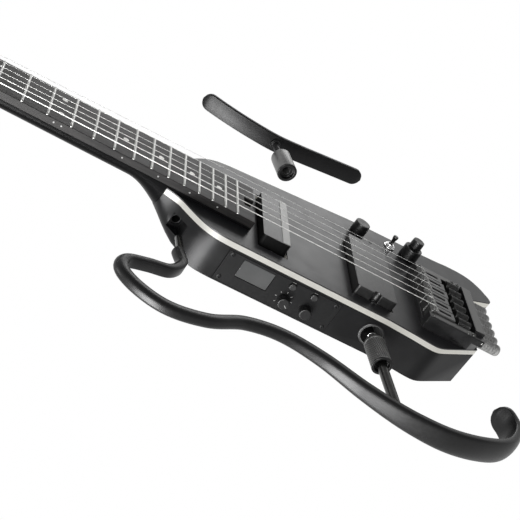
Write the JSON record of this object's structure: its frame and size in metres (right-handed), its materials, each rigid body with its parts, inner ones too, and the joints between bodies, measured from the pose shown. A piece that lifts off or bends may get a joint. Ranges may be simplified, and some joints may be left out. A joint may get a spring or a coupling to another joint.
{
  "type": "travel guitar",
  "caption": "Headless travel guitar: slim body, frame arms that pull out of sockets, side control panel, and a bridge with its tuners at the tail.",
  "frame": {"origin": "on the flat back of the body, under the middle of the saddle line", "axes": "+X from the neck towards the tail, +Y towards the treble strings, +Z out of the playing face"},
  "size_m": [0.7493, 0.3884, 0.056],
  "materials": {
    "satin_black": "satin black lacquer over a solid timber core, soft sheen",
    "accent_white": "warm white layer, smooth edge",
    "dark_wood": "near-black open-grained fingerboard timber with bright frets",
    "black_metal": "satin black powder coat",
    "gunmetal": "dark turned steel, finely knurled",
    "bright_steel": "bright plain steel",
    "chrome_trim": "polished chrome",
    "moulded_black": "moulded black plastic, fine matt texture",
    "screen_grey": "grey window of an unlit display",
    "circuit_green": "green solder-masked circuit sheet",
    "battery_blue": "shrink-wrapped battery pack"
  },
  "bodies": {
    "guitar": {"body_core": "satin_black", "accent_layer": "accent_white", "top_cap": "satin_black", "rear_cover": "moulded_black", "neck": "satin_black", "fretboard": "dark_wood", "nut": "moulded_black", "headpiece": "black_metal", "truss_rod": "black_metal", "neck_pickup": "moulded_black", "bridge_pickup": "moulded_black", "bridge_base": "black_metal", "control_panel": "moulded_black", "display_screen": "screen_grey", "circuit_board": "circuit_green", "battery": "battery_blue", "toggle_switch": "chrome_trim", "output_jack": "chrome_trim", "arm_socket_front": "gunmetal", "arm_socket_rear": "gunmetal", "leg_socket": "gunmetal", "pot_board": "circuit_green", "saddle_1": "bright_steel", "string_1": "bright_steel", "saddle_2": "bright_steel", "string_2": "bright_steel", "saddle_3": "bright_steel", "string_3": "bright_steel", "saddle_4": "bright_steel", "string_4": "bright_steel", "saddle_5": "bright_steel", "string_5": "bright_steel", "saddle_6": "bright_steel", "string_6": "bright_steel"},
    "volume_knob": {"volume_knob": "black_metal"},
    "tone_lower": {"tone_knob_lower": "black_metal"},
    "tone_upper": {"tone_knob_upper": "black_metal"},
    "toggle": {"toggle_lever": "moulded_black"},
    "selector": {"selector_knob": "black_metal"},
    "panel_volume": {"panel_volume_knob": "black_metal"},
    "left_button": {"button_left": "moulded_black"},
    "right_button": {"button_right": "moulded_black"},
    "arm": {"arm_frame": "black_metal", "arm_rod": "black_metal"},
    "arm_nut": {"arm_thumb_nut": "gunmetal"},
    "leg_rest": {"leg_rest_bar": "black_metal", "leg_rest_stem": "black_metal"},
    "leg_nut": {"leg_thumb_nut": "gunmetal"},
    "tuner_1": {"tuner_knob_1": "gunmetal"},
    "carriage_1": {"tuner_carriage_1": "black_metal"},
    "tuner_2": {"tuner_knob_2": "gunmetal"},
    "carriage_2": {"tuner_carriage_2": "black_metal"},
    "tuner_3": {"tuner_knob_3": "gunmetal"},
    "carriage_3": {"tuner_carriage_3": "black_metal"},
    "tuner_4": {"tuner_knob_4": "gunmetal"},
    "carriage_4": {"tuner_carriage_4": "black_metal"},
    "tuner_5": {"tuner_knob_5": "gunmetal"},
    "carriage_5": {"tuner_carriage_5": "black_metal"},
    "tuner_6": {"tuner_knob_6": "gunmetal"},
    "carriage_6": {"tuner_carriage_6": "black_metal"}
  },
  "joints": [
    {"name": "arm_pull", "type": "slide", "parent": "guitar", "child": "arm", "axis": [-0.1219, 0.9925, 0], "range_m": [0, 0.0273]},
    {"name": "arm_nut_turn", "type": "hinge", "parent": "arm", "child": "arm_nut", "pos_m": [-0.0405, -0.053, 0.0175], "axis": [0.1219, -0.9925, 0], "continuous": true},
    {"name": "leg_pull", "type": "slide", "parent": "guitar", "child": "leg_rest", "axis": [0.2079, -0.9781, 0], "range_m": [0, 0.1027]},
    {"name": "leg_nut_turn", "type": "hinge", "parent": "leg_rest", "child": "leg_nut", "pos_m": [-0.087, 0.07884, 0.0175], "axis": [-0.2079, 0.9781, 0], "continuous": true},
    {"name": "volume_turn", "type": "hinge", "parent": "guitar", "child": "volume_knob", "pos_m": [-0.0515, 0.0666, 0.037], "axis": [0, 0, 1], "range_deg": [-150, 150]},
    {"name": "tone_lower_turn", "type": "hinge", "parent": "guitar", "child": "tone_lower", "pos_m": [0.001, 0.068, 0.037], "axis": [0, 0, 1], "range_deg": [-150, 150]},
    {"name": "tone_upper_turn", "type": "hinge", "parent": "guitar", "child": "tone_upper", "pos_m": [0.001, 0.068, 0.048], "axis": [0, 0, 1], "range_deg": [-150, 150]},
    {"name": "pickup_toggle", "type": "hinge", "parent": "guitar", "child": "toggle", "pos_m": [-0.0172, 0.0716, 0.0387], "axis": [0, 1, 0], "range_deg": [-12, 12]},
    {"name": "selector_turn", "type": "hinge", "parent": "guitar", "child": "selector", "pos_m": [-0.117, -0.0533, 0.0114], "axis": [0, 1, 0], "range_deg": [-225, 45]},
    {"name": "panel_volume_turn", "type": "hinge", "parent": "guitar", "child": "panel_volume", "pos_m": [-0.0978, -0.0533, 0.0114], "axis": [0, 1, 0], "range_deg": [-150, 150]},
    {"name": "left_button_press", "type": "slide", "parent": "guitar", "child": "left_button", "axis": [0, 1, 0], "range_m": [0, 0.0015], "stiffness_N_per_m": 400, "springref_m": -0.0005},
    {"name": "right_button_press", "type": "slide", "parent": "guitar", "child": "right_button", "axis": [0, 1, 0], "range_m": [0, 0.0015], "stiffness_N_per_m": 400, "springref_m": -0.0005},
    {"name": "tuner_turn_1", "type": "hinge", "parent": "guitar", "child": "tuner_1", "pos_m": [0.0496, 0.027, 0.0415], "axis": [1, 0, 0], "range_deg": [-750, 1500]},
    {"name": "carriage_pull_1", "type": "slide", "parent": "guitar", "child": "carriage_1", "axis": [1, 0, 0], "range_m": [-0.0016, 0.0032]},
    {"name": "tuner_turn_2", "type": "hinge", "parent": "guitar", "child": "tuner_2", "pos_m": [0.0496, 0.0162, 0.0415], "axis": [1, 0, 0], "range_deg": [-750, 1500]},
    {"name": "carriage_pull_2", "type": "slide", "parent": "guitar", "child": "carriage_2", "axis": [1, 0, 0], "range_m": [-0.0016, 0.0032]},
    {"name": "tuner_turn_3", "type": "hinge", "parent": "guitar", "child": "tuner_3", "pos_m": [0.0496, 0.0054, 0.0415], "axis": [1, 0, 0], "range_deg": [-750, 1500]},
    {"name": "carriage_pull_3", "type": "slide", "parent": "guitar", "child": "carriage_3", "axis": [1, 0, 0], "range_m": [-0.0016, 0.0032]},
    {"name": "tuner_turn_4", "type": "hinge", "parent": "guitar", "child": "tuner_4", "pos_m": [0.0496, -0.0054, 0.0415], "axis": [1, 0, 0], "range_deg": [-750, 1500]},
    {"name": "carriage_pull_4", "type": "slide", "parent": "guitar", "child": "carriage_4", "axis": [1, 0, 0], "range_m": [-0.0016, 0.0032]},
    {"name": "tuner_turn_5", "type": "hinge", "parent": "guitar", "child": "tuner_5", "pos_m": [0.0496, -0.0162, 0.0415], "axis": [1, 0, 0], "range_deg": [-750, 1500]},
    {"name": "carriage_pull_5", "type": "slide", "parent": "guitar", "child": "carriage_5", "axis": [1, 0, 0], "range_m": [-0.0016, 0.0032]},
    {"name": "tuner_turn_6", "type": "hinge", "parent": "guitar", "child": "tuner_6", "pos_m": [0.0496, -0.027, 0.0415], "axis": [1, 0, 0], "range_deg": [-750, 1500]},
    {"name": "carriage_pull_6", "type": "slide", "parent": "guitar", "child": "carriage_6", "axis": [1, 0, 0], "range_m": [-0.0016, 0.0032]}
  ],
  "couplings": [
    {"joint": "tuner_turn_1", "follows": "carriage_pull_1", "rad_per_m": 7854},
    {"joint": "tuner_turn_2", "follows": "carriage_pull_2", "rad_per_m": 7854},
    {"joint": "tuner_turn_3", "follows": "carriage_pull_3", "rad_per_m": 7854},
    {"joint": "tuner_turn_4", "follows": "carriage_pull_4", "rad_per_m": 7854},
    {"joint": "tuner_turn_5", "follows": "carriage_pull_5", "rad_per_m": 7854},
    {"joint": "tuner_turn_6", "follows": "carriage_pull_6", "rad_per_m": 7854}
  ]
}
